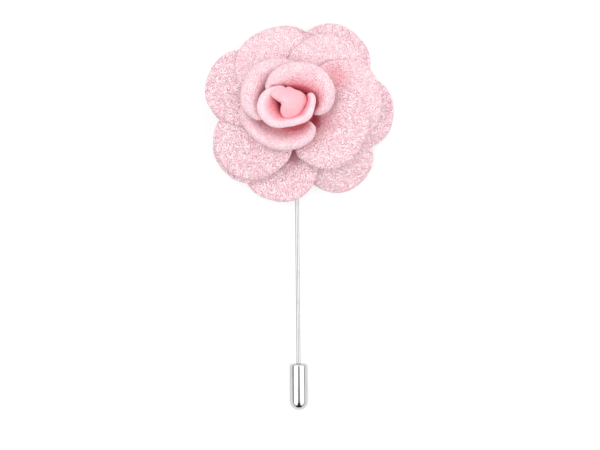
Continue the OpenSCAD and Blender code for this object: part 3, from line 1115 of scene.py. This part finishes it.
def make_cap():
    mouth = cap_high.y
    end = cap_low.y
    profile = [(0, mouth - BORE_DEPTH), (BORE_R, mouth - BORE_DEPTH), (BORE_R, mouth - MOUTH_L),
               (MOUTH_R, mouth - MOUTH_L), (MOUTH_R, mouth - MOUTH_CHAMFER), (MOUTH_R + MOUTH_CHAMFER, mouth)]
    profile += [(cap_r - MOUTH_EDGE + MOUTH_EDGE * math.sin(a), mouth - MOUTH_EDGE + MOUTH_EDGE * math.cos(a))
                for a in QUARTER]
    profile += [(cap_r * math.cos(a), end + cap_r - cap_r * math.sin(a)) for a in QUARTER]
    bm = turned(profile)
    bmesh.ops.recalc_face_normals(bm, faces=bm.faces)
    obj = piece(bm, "cap_shell", cap_metal, "cap")
    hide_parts("cap")
    print(f"cap: {2 * cap_r:.1f} mm across, {mouth - end:.1f} mm long")


make_cap()

# %% [markdown]
# ## Floor
# The pin lies on a white table that the light burns out to nearly pure white, with only a trace of a
# shadow. A table lit so brightly would also light the petals from below, more than a real one does.
# So the camera sees a dim board with an even glow, and all other light meets plain white board.

# %% Table top
FLOOR_SIZE = 1.5
BOARD_SCALE = 40.0
BOARD = (0.83, 0.83, 0.835, 1)
BOARD_LIGHT = (0.85, 0.85, 0.85, 1)
SEEN_BOARD = (0.25, 0.25, 0.25, 1)
SEEN_GLOW = (0.78, 0.78, 0.78, 1)
UNSEEN_GLOW = (0.02, 0.02, 0.02, 1)


def white_board():
    material, start, shader = new_finish("white_table", Roughness=0.9, Specular_IOR_Level=0.2,
                                         Emission_Strength=1.0)
    place = start.node("ShaderNodeTexCoord", out="Object")
    tone = start.node("ShaderNodeTexNoise", {}, {"Vector": place, "Scale": BOARD_SCALE})
    seen = start.node("ShaderNodeLightPath", out="Is Camera Ray")
    feed(shader, "Base Color", seen.mix(tone.mix(BOARD, BOARD_LIGHT), SEEN_BOARD))
    feed(shader, "Emission Color", seen.mix(UNSEEN_GLOW, SEEN_GLOW))
    return material


def make_floor():
    bm = bmesh.new()
    bmesh.ops.create_grid(bm, x_segments=1, y_segments=1, size=FLOOR_SIZE)
    mesh = bpy.data.meshes.new("table_top")
    bm.to_mesh(mesh)
    bm.free()
    floor = bpy.data.objects.new("table_top", mesh)
    bpy.context.scene.collection.objects.link(floor)
    mesh.materials.append(white_board())
    print("table top:", 2 * FLOOR_SIZE, "m wide")


make_floor()

# %% [markdown]
# ## Soft boxes
# Two large soft boxes hang over the table, one on the left and one on the right, and the camera looks
# straight down between them. Polished metal shows them as two white stripes with a grey gap between
# them. Both boxes are turned, which slants the ends of the stripes on the cap, and both hang a little
# towards the needle's point.

# %% Two soft boxes
BOX_LIGHT_Z = 0.45
BOX_LIGHT_L = 1.2
BOX_LIGHT_Y = -0.05
BOX_LIGHT_TURN = 15


def soft_box(name, near, far, turn, radiance):
    """A level soft box that spans the angles near to far from straight above and is turned, in degrees."""
    x0 = BOX_LIGHT_Z * math.tan(math.radians(near))
    x1 = BOX_LIGHT_Z * math.tan(math.radians(far))
    light = bpy.data.lights.new(name, "AREA")
    light.shape = "RECTANGLE"
    light.size = abs(x1 - x0)
    light.size_y = BOX_LIGHT_L
    light.energy = radiance * math.pi * light.size * light.size_y
    obj = bpy.data.objects.new(name, light)
    obj.location = ((x0 + x1) / 2, BOX_LIGHT_Y, BOX_LIGHT_Z)
    obj.rotation_euler = (0, 0, math.radians(turn))
    bpy.context.scene.collection.objects.link(obj)
    print(f"{name}: {light.size:.2f} x {light.size_y:.2f} m, {light.energy:.1f} W")


soft_box("soft_box_left", near=-11, far=-63, turn=-BOX_LIGHT_TURN, radiance=1.37)
soft_box("soft_box_right", near=19, far=73, turn=BOX_LIGHT_TURN, radiance=1.44)

# %% [markdown]
# ## Room
# The room is a plain grey, lighter towards both ends of the table, with a dark wedge on the side to
# which the needle points. The polished round end of the cap mirrors that wedge as a small dark
# triangle. Where the camera looks past the table, it sees a light grey.

# %% The room
ROOM_MIDDLE = (0.42, 0.42, 0.43, 1)
ROOM_ENDS = (0.58, 0.58, 0.59, 1)
ROOM_DARK = (0.03, 0.03, 0.03, 1)
ROOM_SEEN = (0.85, 0.85, 0.86, 1)
ENDS_FROM = 0.12
ENDS_FULL = 0.35
WEDGE_SLOPE = 0.65
WEDGE_EDGE = 0.12


def make_room():
    room = bpy.data.worlds.new("room")
    room.use_nodes = True
    start = Wire(room.node_tree)
    way = start.node("ShaderNodeTexCoord", out="Generated")
    along = start.node("ShaderNodeSeparateXYZ", {}, {"Vector": way}, "Y")
    across = start.node("ShaderNodeSeparateXYZ", {}, {"Vector": way}, "X").absolute()
    seen = start.node("ShaderNodeLightPath", out="Is Camera Ray")
    wedge = (0 - along * WEDGE_SLOPE - across).step(0, WEDGE_EDGE)
    colour = along.absolute().step(ENDS_FROM, ENDS_FULL).mix(ROOM_MIDDLE, ROOM_ENDS)
    colour = seen.mix(wedge.mix(colour, ROOM_DARK), ROOM_SEEN)
    room.node_tree.links.new(colour.socket, room.node_tree.nodes["Background"].inputs["Color"])
    bpy.context.scene.world = room
    print("room:", len(room.node_tree.nodes), "nodes")


make_room()

# %% [markdown]
# ## Camera
# The pin was taken from straight above with a long lens, so it shows hardly any perspective. The
# focal length is given in pixels of the photograph, which is 600 pixels wide, and with the height it
# makes the pin as large as there. A roll of half a degree gives the needle its slight lean.

# %% The camera
CAMERA_X = -0.2
CAMERA_Y = -2.15
CAMERA_HEIGHT = 0.797
FOCAL_PIXELS = 3000
IMAGE_WIDTH = 600
SENSOR = 36
CAMERA_ROLL = -0.55
NEAREST = 0.01


def make_camera():
    camera = bpy.data.cameras.new("camera")
    camera.sensor_width = SENSOR
    camera.lens = SENSOR * FOCAL_PIXELS / IMAGE_WIDTH
    camera.clip_start = NEAREST
    obj = bpy.data.objects.new("camera", camera)
    obj.location = (CAMERA_X * MM, CAMERA_Y * MM, CAMERA_HEIGHT)
    obj.rotation_euler = (0, 0, math.radians(CAMERA_ROLL))
    bpy.context.scene.collection.objects.link(obj)
    bpy.context.scene.camera = obj
    print(f"camera: {camera.lens:.0f} mm lens, {CAMERA_HEIGHT} m above the table")


make_camera()
bpy.context.scene.view_settings.view_transform = "Standard"
